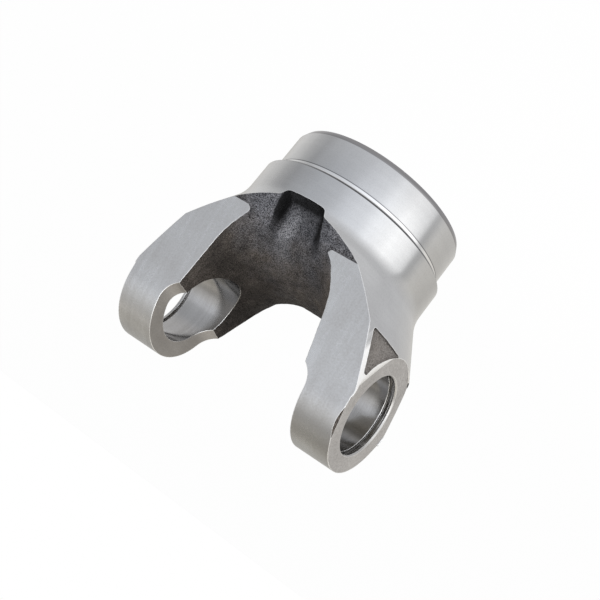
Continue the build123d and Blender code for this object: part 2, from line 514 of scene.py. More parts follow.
# %% Bridging ribs
def join_up(pieces, name):
    """Makes several pieces one object."""
    deselect_all()
    for piece in pieces:
        piece.select_set(True)
    bpy.context.view_layer.objects.active = pieces[0]
    bpy.ops.object.join()
    pieces[0].name = name
    return pieces[0]


def skin_over(ribs, name):
    """Bridges drawn outlines into one closed shape and stays in edit mode."""
    die = join_up(ribs, name)
    bpy.ops.object.mode_set(mode="EDIT")
    bpy.ops.mesh.select_mode(type="EDGE")
    bpy.ops.mesh.select_all(action="SELECT")
    bpy.ops.mesh.bridge_edge_loops(type="SINGLE")
    bpy.ops.mesh.select_mode(type="VERT")
    bpy.ops.mesh.select_all(action="SELECT")
    bpy.ops.mesh.remove_doubles(threshold=WELD_GAP * MM)
    bpy.ops.mesh.normals_make_consistent(inside=False)
    return die


print("bridging ready")

# %% [markdown]
# The throat between the ears is the hardest form: a saddle, level across the
# middle, then falling away with the web on both sides, while its flanks lean
# outwards. Its ribs are cross sections, each a U with rounded corners. Towards
# the webs the corners get tighter, on one side more than on the other, because
# the two halves of the forging die were not quite in line. Behind the middle one
# corner is rounder, where the die was worn.

# %% Sections of the throat
THROAT_DEPTH, THROAT_ARCH_R, THROAT_HALF_W = 22.4, 41.8, 24.8
THROAT_BELLY, THROAT_LEAN, THROAT_R, THROAT_LEAST_R = 0.0010, 0.213, 20.7, 4.0
THROAT_STEPS, THROAT_REACH, THROAT_TOP = 12, 46.0, 9.0
TIGHTEN, TIGHTEN_POWER = {1: 23.0, -1: 5.0}, 4
WORN_R, WORN_Y, WORN_REACH = {1: 6.5, -1: 0.0}, 19.0, 9.0


def corner_radius(y, hand):
    """Radius of one corner of a section, at a distance from the middle."""
    worn = WORN_R[hand] * exp(-((y - WORN_Y) / WORN_REACH) ** 2)
    tighter = TIGHTEN[hand] * (y / THROAT_REACH) ** TIGHTEN_POWER
    return max(THROAT_LEAST_R, THROAT_R + worn - tighter)


def throat_rib(y):
    """Points of one U-shaped section at a distance from the middle."""
    low = JOINT_H - THROAT_DEPTH - y ** 2 / (2 * THROAT_ARCH_R)
    top = JOINT_H + THROAT_TOP
    half = THROAT_HALF_W + THROAT_BELLY * y ** 2
    ref = JOINT_H - bore_r
    low_x = half + THROAT_LEAN * (low - ref)
    top_x = half + THROAT_LEAN * (top - ref)
    top_left, low_left = (-top_x, y, top), (-low_x, y, low)
    low_right, top_right = (low_x, y, low), (top_x, y, top)
    left = round_corner(top_left, low_left, low_right, corner_radius(y, -1), THROAT_STEPS)
    right = round_corner(low_left, low_right, top_right, corner_radius(y, 1), THROAT_STEPS)
    return [top_left] + left + right + [top_right]


print("throat corners", [round(corner_radius(WORN_Y, hand), 1) for hand in (1, -1)], "mm")

# %% [markdown]
# The sections stand in even steps from web to web. Only the first and the last
# keep their face, which closes the ends of the skin.

# %% Throat die
THROAT_RIBS = 24
ribs = []
for i in range(THROAT_RIBS + 1):
    rib = draw_line("throat_rib", throat_rib(THROAT_REACH * (2 * i / THROAT_RIBS - 1)))
    fill_line()
    if 0 < i < THROAT_RIBS:
        bpy.ops.mesh.delete(type="ONLY_FACE")
    bpy.ops.object.mode_set(mode="OBJECT")
    ribs.append(rib)
throat = skin_over(ribs, "throat_die")
bpy.ops.object.mode_set(mode="OBJECT")
print("throat die", len(throat.data.polygons), "faces over", len(ribs), "ribs")

# %% [markdown]
# The web belongs to the same die as the throat, so the ridge between the two is
# not an edge but a soft round, and where the milled flats were cut later they
# end in a round corner. A slab over each web joins the throat, both become one
# skin in a voxel remesh, and smoothing rubs the ridge round. The slab stands a
# little off the flats, because they were forged with some metal to spare.

# %% Web slabs and the soft ridge
WEB_SINK, FLAT_SPARE, SLAB_RISE, RIDGE_ROUNDS = 0.3, 0.5, 5.0, 26
spare_y = FLAT_SPARE / cos(taper)
overrun = (spare_y / tan(slope) + WEB_SINK / sin(slope)) / (1 - tan(taper) / tan(slope))
slabs = []
for side in (1, -1):
    corner_y = side_y(FLAT_LEN + overrun) + spare_y
    slab_z = JOINT_H - FLAT_LEN + SLAB_RISE
    slab = draw_line("web_slab", [
        (-far_x, side * corner_y, JOINT_H - FLAT_LEN - overrun),
        (-far_x, side * THROAT_REACH, web_z(THROAT_REACH) - WEB_SINK / sin(slope)),
        (-far_x, side * THROAT_REACH, slab_z),
        (-far_x, side * (side_y(FLAT_LEN - SLAB_RISE) + spare_y), slab_z),
    ])
    pull_bar((2 * far_x, 0, 0))
    slabs.append(slab)
forging = join_up([throat] + slabs, "forging_die")
even_skin(forging, SKIN_CELL, RIDGE_ROUNDS)
print("soft ridge on", len(forging.data.polygons), "cells")

# %% [markdown]
# Where a milled flat ends between web and throat, its corner is round as well,
# because the forged ridge below it is. For each of the four corners the outline
# of what the round leaves over is drawn on the flat, pulled inwards, and cut off
# along the web, so that the web runs on below the corner.

# %% Round ends of the flats
END_R, END_STEPS, END_RUN, END_OVER = 2.2, 8, 6.0, 5.0
END_LIFT, END_BELOW, END_DEPTH = 2.0, 2.0, 7.0
END_X = {1: 15.6, -1: 11.6}


def over_flat(x, drop, side):
    """Point over a flat, by its distance from the middle and below the joint."""
    return (x, side * (side_y(drop) + END_LIFT * cos(taper)),
            JOINT_H - drop + END_LIFT * sin(taper))


ends = []
for side in (1, -1):
    web_point = Vector((0, side * flat_y, JOINT_H - FLAT_LEN - WEB_SINK / sin(slope))) * MM
    web_normal = (0, side * cos(slope), sin(slope))
    for hand in (1, -1):
        outer_x = hand * (END_X[hand] + END_RUN)
        inner_x = hand * (END_X[hand] - END_OVER)
        tip = over_flat(hand * END_X[hand], FLAT_LEN, side)
        down_web = over_flat(outer_x, FLAT_LEN, side)
        up_throat = over_flat(outer_x, FLAT_LEN - END_RUN, side)
        rest = round_corner(down_web, tip, up_throat, END_R, END_STEPS)
        rest += [over_flat(inner_x, FLAT_LEN - END_OVER, side),
                 over_flat(inner_x, FLAT_LEN + END_BELOW, side),
                 over_flat(outer_x, FLAT_LEN + END_BELOW, side)]
        corner = draw_line("flat_end", rest)
        pull_bar((0, -side * END_DEPTH * cos(taper), -END_DEPTH * sin(taper)))
        bpy.ops.object.mode_set(mode="EDIT")
        bpy.ops.mesh.select_all(action="SELECT")
        bpy.ops.mesh.bisect(plane_co=web_point, plane_no=web_normal,
                            use_fill=True, clear_inner=True)
        close_shape()
        ends.append(corner)
print(len(ends), "flat ends drawn")

# %% [markdown]
# Two pockets, one on each side, lighten the web. Their walls lean by the draft
# that lets the die come out, and the floor slopes. The mouth is an outline that
# opens towards the throat, with two rounded corners.

# %% Outline of the pockets
POCKET_HALF_W, POCKET_SPLAY, POCKET_RISE, POCKET_DEPTH = 8.7, 11.0, 11.7, 7.5
POCKET_R, POCKET_STEPS, POCKET_DRAFT = 2.3, 6, 8.0
POCKET_LEAD, POCKET_FRONT = 6.0, 26.0
back_z = PILOT_LEN + POCKET_RISE
draft = tan(radians(POCKET_DRAFT))
mouth_low = back_z - POCKET_LEAD * draft
mouth_w = POCKET_HALF_W + POCKET_LEAD * draft
front_w = mouth_w + POCKET_FRONT * tan(radians(POCKET_SPLAY))


def pocket_mouth(y, inset):
    """Rounded outline of the pocket at one depth, drawn in by the draft."""
    low = mouth_low + inset
    corners = [(-mouth_w + inset, y, low), (mouth_w - inset, y, low),
               (front_w - inset, y, low + POCKET_FRONT),
               (-front_w + inset, y, low + POCKET_FRONT)]
    left = round_corner(corners[3], corners[0], corners[1], POCKET_R, POCKET_STEPS)
    right = round_corner(corners[0], corners[1], corners[2], POCKET_R, POCKET_STEPS)
    return left + right + corners[2:]


print("pocket mouth", round(2 * mouth_w, 2), "mm wide at the back")

# %% [markdown]
# The mouth is bridged to a narrower outline further in, and the block is cut off
# along the floor, where the new edge gets a small radius. The pockets join the
# die after its ridge was smoothed, so that they stay crisp.

# %% Pockets
POCKET_FLOOR, POCKET_FLOOR_R, POCKET_FLOOR_STEPS = 21.0, 1.2, 4
POCKET_SINK, DIE_ROUNDS = 24.0, 3
floor_y = collar_r - POCKET_DEPTH
floor_z = back_z + POCKET_DEPTH * draft
floor_lean = radians(POCKET_FLOOR)
pockets = []
for side in (1, -1):
    rims = []
    for depth in (0, POCKET_SINK):
        y = side * (collar_r + POCKET_LEAD - depth)
        rims.append(draw_line("pocket_rim", pocket_mouth(y, depth * draft)))
        fill_line()
        bpy.ops.object.mode_set(mode="OBJECT")
    pocket = skin_over(rims, "pocket_die")
    bpy.ops.mesh.bisect(plane_co=(0, side * floor_y * MM, floor_z * MM),
                        plane_no=(0, side * cos(floor_lean), sin(floor_lean)),
                        use_fill=True, clear_inner=True)
    bpy.ops.mesh.bevel(offset=POCKET_FLOOR_R * MM, segments=POCKET_FLOOR_STEPS, affect="EDGES")
    close_shape()
    pockets.append(pocket)
forging = join_up([forging] + ends + pockets, "forging_die")
roughen(forging, rounds=DIE_ROUNDS)
machine(yoke, forging)
print("throat, web and pockets forged,", len(yoke.data.polygons), "faces")

# %% [markdown]
# The hub is hollow, with a drafted wall and a rounded floor, so that the web
# has an even thickness. It is a spun shape again, sunk into the hub's end.

# %% Hub cavity
HUB_WALL, WEB_THICK, CAVITY_DRAFT, CAVITY_R, CAVITY_STEPS = 7.0, 20.75, 9.0, 7.0, 8
CAVITY_CELL, CAVITY_ROUNDS = 0.9, 1
cavity_h = JOINT_H - THROAT_DEPTH - WEB_THICK
cavity_r = pilot_r - HUB_WALL
cavity_top_r = cavity_r - cavity_h * tan(radians(CAVITY_DRAFT))
cavity_line = [(0, 0, -REACH / 2), (cavity_r, 0, -REACH / 2), (cavity_r, 0, 0)]
cavity_line += round_corner((cavity_r, 0, 0), (cavity_top_r, 0, cavity_h),
                            (0, 0, cavity_h), CAVITY_R, CAVITY_STEPS)
cavity_line.append((0, 0, cavity_h))
cavity = draw_line("cavity_die", cavity_line)
spin_round(TURN_STEPS // 2)
roughen(cavity, CAVITY_CELL, CAVITY_ROUNDS)
machine(yoke, cavity)
print("hub hollow,", len(yoke.data.polygons), "faces")

# %% [markdown]
# The cuts leave tiny slivers where edges almost touch, and they are merged. They
# also leave spare points half way along a straight edge. When the faces on both
# sides are split into triangles, such a point gives two flat triangles that lie
# on each other, so it is dissolved.

# %% Clean mesh
SLIVER_GAP, SLIVER_EDGE = 0.005, 0.002
SPARE_BOW, SPARE_ROUNDS = 0.03, 2


def dissolve_spare(piece):
    """Dissolves the points that lie on a straight edge, from edit mode to edit mode."""
    bpy.ops.mesh.select_all(action="DESELECT")
    bpy.ops.object.mode_set(mode="OBJECT")
    points = piece.data.vertices
    near = [[] for point in points]
    for line in piece.data.edges:
        first, second = line.vertices
        near[first].append(second)
        near[second].append(first)
    spare = [point for point in points if len(near[point.index]) == 2]
    for point in spare:
        back, ahead = (points[i].co - point.co for i in near[point.index])
        point.select = back.cross(ahead).length < SPARE_BOW * MM * (ahead - back).length
    found = sum(point.select for point in spare)
    bpy.ops.object.mode_set(mode="EDIT")
    bpy.ops.mesh.dissolve_verts()
    return found


pick(yoke)
bpy.ops.object.mode_set(mode="EDIT")
bpy.ops.mesh.select_all(action="SELECT")
bpy.ops.mesh.remove_doubles(threshold=SLIVER_GAP * MM)
bpy.ops.mesh.dissolve_degenerate(threshold=SLIVER_EDGE * MM)
bpy.ops.mesh.select_mode(type="VERT")
found = [dissolve_spare(yoke) for i in range(SPARE_ROUNDS)]
bpy.ops.object.mode_set(mode="OBJECT")
print("spare points dissolved", found)

# %% [markdown]
# The shading is set smooth except across real edges, and the normals are weighted
# by face area, so that a large flat stays flat next to a round. The finished mesh
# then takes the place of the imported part's one node, and rides on its one body.

# %% Smooth shading and place in the frame
EDGE_ANGLE, AREA_WEIGHT = 32.0, 50
bpy.ops.object.shade_smooth_by_angle(angle=radians(EDGE_ANGLE))
use_modifier(yoke, "WEIGHTED_NORMAL", keep_sharp=True, weight=AREA_WEIGHT)
triangles = sum(len(face.vertices) - 2 for face in yoke.data.polygons)
print("yoke", len(yoke.data.polygons), "faces,", triangles, "triangles,",
      [slot.name for slot in yoke.data.materials])

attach(yoke, "root")
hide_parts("yoke")

# %% [markdown]
# The finishes are built from a few node groups that all of them share, as one
# workshop marks all its parts alike. Small helpers keep the node code short:
# one adds a node, one feeds a socket from a link or a plain value, and two do
# sums.

# %% Node helpers
def add_node(tree, kind, **settings):
    node = tree.nodes.new(kind)
    for key, value in settings.items():
        setattr(node, key, value)
    return node


def feed(tree, socket, value):
    """Links a socket to another one, or sets it to a plain value."""
    if isinstance(value, bpy.types.NodeSocket):
        tree.links.new(value, socket)
    else:
        socket.default_value = value


def reckon(tree, how, first, second=0.0):
    node = add_node(tree, "ShaderNodeMath", operation=how)
    feed(tree, node.inputs[0], first)
    feed(tree, node.inputs[1], second)
    return node.outputs[0]


def times(tree, first, *others):
    """Multiplies values, each a link or a plain number."""
    for other in others:
        first = reckon(tree, "MULTIPLY", first, other)
    return first


print("node helpers ready")

# %% [markdown]
# Four more helpers stand for the nodes that make a pattern: a place put together
# from lengths, noise, a range that is stretched onto another, and a mix of two
# colours.

# %% Pattern helpers
def combine(tree, x, y, z=0.0):
    node = add_node(tree, "ShaderNodeCombineXYZ")
    for socket, value in zip(node.inputs, (x, y, z)):
        feed(tree, socket, value)
    return node.outputs[0]


def noise(tree, place, scale, detail, roughness):
    node = add_node(tree, "ShaderNodeTexNoise")
    feed(tree, node.inputs["Vector"], place)
    node.inputs["Scale"].default_value = scale
    node.inputs["Detail"].default_value = detail
    node.inputs["Roughness"].default_value = roughness
    return node.outputs[0]


def stretch(tree, value, low, high, to_low=0.0, to_high=1.0):
    """Maps a range of values onto another and clips what lies outside."""
    node = add_node(tree, "ShaderNodeMapRange")
    feed(tree, node.inputs["Value"], value)
    node.inputs["From Min"].default_value = low
    node.inputs["From Max"].default_value = high
    node.inputs["To Min"].default_value = to_low
    node.inputs["To Max"].default_value = to_high
    return node.outputs[0]


def tint(tree, share, first, second, blend="MIX"):
    """Mixes two colours, each a link or three plain numbers."""
    node = add_node(tree, "ShaderNodeMix", data_type="RGBA", blend_type=blend)
    feed(tree, node.inputs[0], share)
    for socket, colour in ((node.inputs[6], first), (node.inputs[7], second)):
        feed(tree, socket, colour if isinstance(colour, bpy.types.NodeSocket) else (*colour, 1))
    return node.outputs[2]


print("pattern helpers ready")

# %% [markdown]
# A node group is a small machine with named sockets. Three helpers make one,
# close it when its nodes stand, and place it in a material.

# %% Group helpers
def new_group(name, takes, gives):
    """A node group with its sockets, and the two nodes at its ends."""
    group = bpy.data.node_groups.new(name, "ShaderNodeTree")
    for way, sockets in (("INPUT", takes), ("OUTPUT", gives)):
        for label, kind in sockets:
            group.interface.new_socket(name=label, in_out=way, socket_type="NodeSocket" + kind)
    return group, group.nodes.new("NodeGroupInput"), group.nodes.new("NodeGroupOutput")


def give_out(group, end, **gives):
    """Links what a group puts out."""
    for label, socket in gives.items():
        feed(group, end.inputs[label], socket)
    print("group", group.name, len(group.nodes), "nodes")


def use_group(tree, group, **takes):
    node = add_node(tree, "ShaderNodeGroup", node_tree=group)
    for label, value in takes.items():
        feed(tree, node.inputs[label], value)
    return node


print("group helpers ready")

# %% [markdown]
# Every cutting tool leaves lines that run the way the tool went: round the hub
# on the lathe, round the bore on its face, along the ear on the flats. The
# group for tool marks needs only two lengths, one across the lines and one
# along them. Noise that is squeezed across and pulled long gives the lines, a
# fine set for the single tool marks and a broad set for the passes.

# %% Tool marks
LINE_ACROSS, LINE_ALONG, LINE_RANGE = 2.6, 0.07, (0.25, 0.75)
PASS_ACROSS, PASS_ALONG, PASS_RANGE, PASS_SHIFT = 0.42, 0.022, (0.3, 0.7), 5.0
tool_marks, begin, end = new_group("tool_marks", [("Across", "Float"), ("Along", "Float")],
                                   [("Line", "Float"), ("Pass", "Float")])
across, along = begin.outputs["Across"], begin.outputs["Along"]
line_place = combine(tool_marks, times(tool_marks, across, LINE_ACROSS),
                     times(tool_marks, along, LINE_ALONG))
pass_place = combine(tool_marks, times(tool_marks, across, PASS_ACROSS),
                     times(tool_marks, along, PASS_ALONG), PASS_SHIFT)
lines = noise(tool_marks, line_place, 1.0, detail=3.0, roughness=0.6)
passes = noise(tool_marks, pass_place, 1.0, detail=2.0, roughness=0.5)
give_out(tool_marks, end, Line=stretch(tool_marks, lines, *LINE_RANGE),
         Pass=stretch(tool_marks, passes, *PASS_RANGE))

# %% [markdown]
# Steel that has lain in a bin is never even: oil, light rust and handling leave
# soft clouds, and a fine speckle of tiny pits lies over all. One group gives
# both from the place on the part, so clouds run on over an edge unbroken.

# %% Clouds and speckle
CLOUD_SCALE, CLOUD_RANGE = 0.055, (0.33, 0.67)
SPECK_SCALE, SPECK_RANGE = 1.6, (0.34, 0.66)
store_marks, begin, end = new_group("store_marks", [("Place", "Vector")],
                                    [("Cloud", "Float"), ("Speck", "Float")])
place = begin.outputs["Place"]
clouds = noise(store_marks, place, CLOUD_SCALE, detail=4.0, roughness=0.55)
specks = noise(store_marks, place, SPECK_SCALE, detail=3.0, roughness=0.7)
give_out(store_marks, end, Cloud=stretch(store_marks, clouds, *CLOUD_RANGE),
         Speck=stretch(store_marks, specks, *SPECK_RANGE))

# %% [markdown]
# No edge on a real part is sharp. A narrow round catches the light and is rubbed
# bright by every part it touches. The Bevel node gives the direction such a
# round would face, and where that differs from the face itself there is an edge,
# so one node serves for the gleam and for the wear: the edge's colour is made
# lighter, partly for the wear and partly as a painted highlight.

# %% Rubbed edges and painted highlight
EDGE_ROUND, EDGE_STARTS, EDGE_FULL = 0.45, 0.995, 0.90
edge_wear_and_gleam, _, end = new_group("edge_wear_and_gleam", [], [("Edge", "Float"), ("Normal", "Vector")])
rounding = add_node(edge_wear_and_gleam, "ShaderNodeBevel", samples=6)
rounding.inputs["Radius"].default_value = EDGE_ROUND * MM
facing = add_node(edge_wear_and_gleam, "ShaderNodeNewGeometry")
likeness = add_node(edge_wear_and_gleam, "ShaderNodeVectorMath", operation="DOT_PRODUCT")
feed(edge_wear_and_gleam, likeness.inputs[0], rounding.outputs[0])
feed(edge_wear_and_gleam, likeness.inputs[1], facing.outputs["Normal"])
edge = stretch(edge_wear_and_gleam, likeness.outputs["Value"], EDGE_STARTS, EDGE_FULL)
give_out(edge_wear_and_gleam, end, Edge=edge, Normal=rounding.outputs[0])

# %% [markdown]
# Painted shade darkens the places that see little of the room: the ring grooves,
# the root of the pilot and inner corners. Ambient occlusion over a short distance
# finds these places, because there the surface sees more of itself than of the
# room. Over a longer distance it finds the deep corners of the forging, which are
# painted black as shade.

# %% Painted shade in the corners
# label, reach, and how open a place is where it starts and where it is full
SHELTERED = [("Shade", 1.6, 0.85, 0.50), ("DeepShade", 15.0, 0.88, 0.54)]
corner_shade, _, end = new_group("corner_shade", [], [("Shade", "Float"), ("DeepShade", "Float")])
shade_masks = {}
for label, reach, starts, full in SHELTERED:
    shelter = add_node(corner_shade, "ShaderNodeAmbientOcclusion", samples=6)
    shelter.inputs["Distance"].default_value = reach * MM
    shade_masks[label] = stretch(corner_shade, shelter.outputs["AO"], starts, full)
give_out(corner_shade, end, **shade_masks)

# %% [markdown]
# The forged skin is dark scale with a coarse sandy grain. The grain is two
# noises, a fine one for the sand and a coarser one for the clumps. Peaks are
# worn to bare grey and pits stay black. Near the hub the scale is blue grey, and
# higher up, in the throat, it turns brown, with a ragged border between them.

# %% Forge scale
SAND_SCALE, SAND_SHARE = 2.7, 0.86
CLUMP_SCALE, CLUMP_SHARE = 0.42, 0.14
PEAK_RANGE = (0.42, 0.62)
BORDER_SCALE, BORDER_SPREAD, BORDER_Z = 0.08, 24.0, (47.0, 63.0)
forge_scale, begin, end = new_group("forge_scale", [("Place", "Vector")],
                                    [("Height", "Float"), ("Peak", "Float"), ("Brown", "Float")])
place = begin.outputs["Place"]
sand = noise(forge_scale, place, SAND_SCALE, detail=4.0, roughness=0.75)
clump = noise(forge_scale, place, CLUMP_SCALE, detail=3.0, roughness=0.6)
height = reckon(forge_scale, "ADD", times(forge_scale, sand, SAND_SHARE),
                times(forge_scale, clump, CLUMP_SHARE))
ragged = noise(forge_scale, place, BORDER_SCALE, detail=3.0, roughness=0.6)
split = add_node(forge_scale, "ShaderNodeSeparateXYZ")
feed(forge_scale, split.inputs[0], place)
border = reckon(forge_scale, "ADD", split.outputs["Z"], times(forge_scale, ragged, BORDER_SPREAD))
give_out(forge_scale, end, Height=height, Peak=stretch(forge_scale, height, *PEAK_RANGE),
         Brown=stretch(forge_scale, border, *BORDER_Z))

# %% [markdown]
# Each machined finish is the same steel with its own lay of tool marks. The lay
# is worked out from the place on the part in millimetres: for the lathe the way
# round is the angle about the tube axis, for facing and boring the angle about
# the cross bore. On the flats the marks run up the ear, in the slot along it.

# %% Lay of the marks
def part_place(tree):
    """Place on the part in millimetres, whole and split."""
    spot = add_node(tree, "ShaderNodeTexCoord")
    scaled = add_node(tree, "ShaderNodeVectorMath", operation="SCALE")
    tree.links.new(spot.outputs["Object"], scaled.inputs[0])
    scaled.inputs["Scale"].default_value = 1 / MM
    split = add_node(tree, "ShaderNodeSeparateXYZ")
    tree.links.new(scaled.outputs[0], split.inputs[0])
    return scaled.outputs[0], split.outputs[0], split.outputs[1], split.outputs[2]


def out_from(tree, first, second):
    """Distance out from an axis."""
    return reckon(tree, "SQRT", reckon(tree, "ADD", times(tree, first, first),
                                       times(tree, second, second)))


def way_round(tree, first, second, radius):
    """The way round an axis, at a radius."""
    return times(tree, reckon(tree, "ARCTAN2", first, second), radius)


def lay_of(tree, trade):
    """The place, and the lengths across and along the tool marks of one trade."""
    place, x, y, z = part_place(tree)
    if trade == "milled":
        return place, x, z
    if trade == "slotted":
        return place, z, y
    if trade == "turned":
        across = reckon(tree, "ADD", out_from(tree, x, y), z)
        return place, across, way_round(tree, x, y, pilot_r)
    above = reckon(tree, "SUBTRACT", z, JOINT_H)
    across = out_from(tree, y, above) if trade == "faced" else x
    return place, across, way_round(tree, y, above, bore_r)


print("lay of the marks ready")

# %% [markdown]
# Now the machined finishes. All are bare metal, and they differ in tone, gloss
# and depth of the lines, and in what the tone shifts with. A table keeps them
# side by side, which makes them easy to compare with the real part.

# %% Tones and gloss of the steel
# shares are those of clouds, passes, lines and specks in the tone
# one more value in each row sets how far corners are painted dark as shade
STEEL = {
    "turned": dict(dark=(0.505, 0.505, 0.51), light=(0.63, 0.635, 0.64),
                   smooth=0.09, dull=0.17, lines=0.0012, painted_shade=1.0,
                   shares=(0.45, 0.15, 0.15, 0.25)),
    "milled": dict(dark=(0.455, 0.445, 0.435), light=(0.69, 0.695, 0.70),
                   smooth=0.24, dull=0.38, lines=0.0020, painted_shade=0.2,
                   shares=(0.30, 0.25, 0.10, 0.35)),
    "slotted": dict(dark=(0.235, 0.222, 0.210), light=(0.385, 0.372, 0.360),
                    smooth=0.26, dull=0.40, lines=0.0020, painted_shade=0.2,
                    shares=(0.35, 0.15, 0.10, 0.40)),
    "faced": dict(dark=(0.345, 0.332, 0.328), light=(0.715, 0.708, 0.712),
                  smooth=0.24, dull=0.40, lines=0.0020, painted_shade=0.0,
                  shares=(0.25, 0.10, 0.15, 0.50)),
    "bored": dict(dark=(0.36, 0.35, 0.34), light=(0.515, 0.51, 0.505),
                  smooth=0.10, dull=0.20, lines=0.0016, painted_shade=1.0,
                  shares=(0.30, 0.30, 0.20, 0.20)),
}
print(len(STEEL), "machined finishes in the table")

# %% [markdown]
# Each of them is put together alike. The tone shifts with clouds, passes, lines
# and specks. The edges are lighter, partly from wear and partly as a painted
# highlight, and corners are painted darker as shade. The gloss follows the same
# marks: a face that is scored shines less. Bump carries the lines in the
# reflections. What is the same all over stays on the shader itself.

# %% Machined finishes
# the edge tone is wear and a painted highlight, the corner tone is painted shade
EDGE_WEAR_GLEAM_TONE, PAINTED_SHADE_TONE = (0.90, 0.90, 0.90), (0.10, 0.095, 0.09)
GLOSS_RANGE = (0.2, 0.8)
metal = {}
for trade, steel in STEEL.items():
    tree = finish[trade].node_tree
    surface = tree.nodes["Principled BSDF"]
    place, across, along = lay_of(tree, trade)
    marks = use_group(tree, tool_marks, Across=across, Along=along)
    store = use_group(tree, store_marks, Place=place)
    edges = use_group(tree, edge_wear_and_gleam)
    painted_shade = use_group(tree, corner_shade)
    parts = (store.outputs["Cloud"], marks.outputs["Pass"],
             marks.outputs["Line"], store.outputs["Speck"])
    mixed = 0.0
    for part, share in zip(parts, steel["shares"]):
        mixed = reckon(tree, "ADD", times(tree, part, share), mixed)
    tone = tint(tree, mixed, steel["dark"], steel["light"])
    # edges are lighter, partly from wear and partly as a painted highlight
    worn = tint(tree, edges.outputs["Edge"], tone, EDGE_WEAR_GLEAM_TONE)
    # corners are painted darker as shade
    shade_share = times(tree, painted_shade.outputs["Shade"], steel["painted_shade"])
    metal[trade] = tint(tree, shade_share, worn, PAINTED_SHADE_TONE)
    gloss = stretch(tree, mixed, *GLOSS_RANGE, steel["dull"], steel["smooth"])
    bump = add_node(tree, "ShaderNodeBump")
    bump.inputs["Distance"].default_value = steel["lines"] * MM
    feed(tree, bump.inputs["Height"], marks.outputs["Line"])
    # the lathe's smooth rounds keep their own normal, which reflects more evenly
    if trade != "turned":
        feed(tree, bump.inputs["Normal"], edges.outputs["Normal"])
    feed(tree, surface.inputs["Base Color"], metal[trade])
    feed(tree, surface.inputs["Roughness"], gloss)
    feed(tree, surface.inputs["Normal"], bump.outputs[0])
    surface.inputs["Metallic"].default_value = 1.0
    print(finish[trade].name, len(tree.nodes), "nodes")

# %% [markdown]
# The lathe left a few more traces on the hub: the chamfer at its end is cut
# coarser and looks darker, and beside the collar runs a bright band that a second
# tool cut. At the band's border a fine dark line is a painted reflection of the
# collar's edge, and the chamfer of the collar is painted dark as shade. On the
# ears the narrow strip beside the forged patch is rubbed to a bright satin. All of
# these lie at a known height, so each is a window in Z laid over the tone, and the
# strip has one in X as well.

# %% Traces of the lathe, with painted shade and reflection
# name, middle height, half width and tone
TRACES = [("hub chamfer", PILOT_LEAD / 2 - 0.5, PILOT_LEAD / 2 + 0.4, (0.30, 0.295, 0.30)),
          ("bright band", PILOT_LEN - 1.0, 0.85, (0.84, 0.84, 0.84)),
          # a fine dark line painted as the pilot's reflection of the collar's edge
          ("painted collar reflection", PILOT_LEN - 2.1, 0.10, (0.22, 0.22, 0.23)),
          # the collar chamfer's dark tone is painted shade
          ("collar chamfer in painted shade", PILOT_LEN + SHOULDER_EASE / 2, SHOULDER_EASE / 2,
           (0.13, 0.13, 0.135))]
SOFT_BORDER = 0.12
SATIN, SATIN_DULL = (0.97, 0.97, 0.97), 0.42
SATIN_RISE, SATIN_INSET = (0.2, 1.2), (5.0, 4.0)
tree = finish["turned"].node_tree
surface = tree.nodes["Principled BSDF"]
_, x, _, z = part_place(tree)
tone = metal["turned"]
for name, middle, half, colour in TRACES:
    away = reckon(tree, "ABSOLUTE", reckon(tree, "SUBTRACT", z, middle))
    tone = tint(tree, stretch(tree, away, half + SOFT_BORDER, half), tone, colour)
    print(name, "at", round(middle, 2), "mm")
high = stretch(tree, z, *(JOINT_H - kink_drop + rise for rise in SATIN_RISE))
wide = stretch(tree, reckon(tree, "ABSOLUTE", x), *(face_x - inset for inset in SATIN_INSET))
strip = times(tree, high, wide)
feed(tree, surface.inputs["Base Color"], tint(tree, strip, tone, SATIN))
gloss = surface.inputs["Roughness"].links[0].from_socket
feed(tree, surface.inputs["Roughness"],
     reckon(tree, "MAXIMUM", gloss, times(tree, strip, SATIN_DULL)))

# %% [markdown]
# The forged finish is scale over steel, mostly dull and dark. Its tone runs from
# black pits to grey peaks, blue grey below and brown above, and where the scale
# is thicker it makes darker patches.

# %% Tone of the scale
PIT, PEAK = (0.006, 0.0065, 0.008), (0.275, 0.278, 0.305)
BROWN_PIT, BROWN_PEAK = (0.028, 0.0235, 0.020), (0.195, 0.170, 0.150)
THICK_SCALE, THICK_RANGE, THICK_SHARE = 0.07, (0.40, 0.62), 0.45
tree = finish["forged"].node_tree
place, x, _, z = part_place(tree)
scale = use_group(tree, forge_scale, Place=place)
peak = scale.outputs["Peak"]
blue = tint(tree, peak, PIT, PEAK)
warm = tint(tree, peak, BROWN_PIT, BROWN_PEAK)
skin = tint(tree, scale.outputs["Brown"], blue, warm)
thick = noise(tree, place, THICK_SCALE, detail=3.0, roughness=0.6)
skin = tint(tree, stretch(tree, thick, *THICK_RANGE, THICK_SHARE, 0.0), skin, PIT)
print("tone of the scale", len(tree.nodes), "nodes")

# %% [markdown]
# The patches outside on the ears are lighter than the throat: their peaks are
# rubbed in handling, and all over they carry painted light for the light that
# falls on the outer face. They are the only forged places that lie so far out.

# %% Rubbed patches with painted light
# lighter patches: worn peaks, and painted light all over
RUBBED_AND_LIT, RUB_FULL, PAINTED_LIGHT_LEAST = (0.142, 0.134, 0.128), 0.9, 0.30
OUTSIDE_X, OUTSIDE_DROP = (36.0, 39.0), 2.0
outside = times(tree, stretch(tree, reckon(tree, "ABSOLUTE", x), *OUTSIDE_X),
                stretch(tree, z, JOINT_H, JOINT_H - OUTSIDE_DROP))
rubbed_and_lit = times(tree, outside, stretch(tree, peak, 0.0, RUB_FULL, PAINTED_LIGHT_LEAST, 1.0))
skin = tint(tree, rubbed_and_lit, skin, RUBBED_AND_LIT)
print("rubbed patches", len(tree.nodes), "nodes")

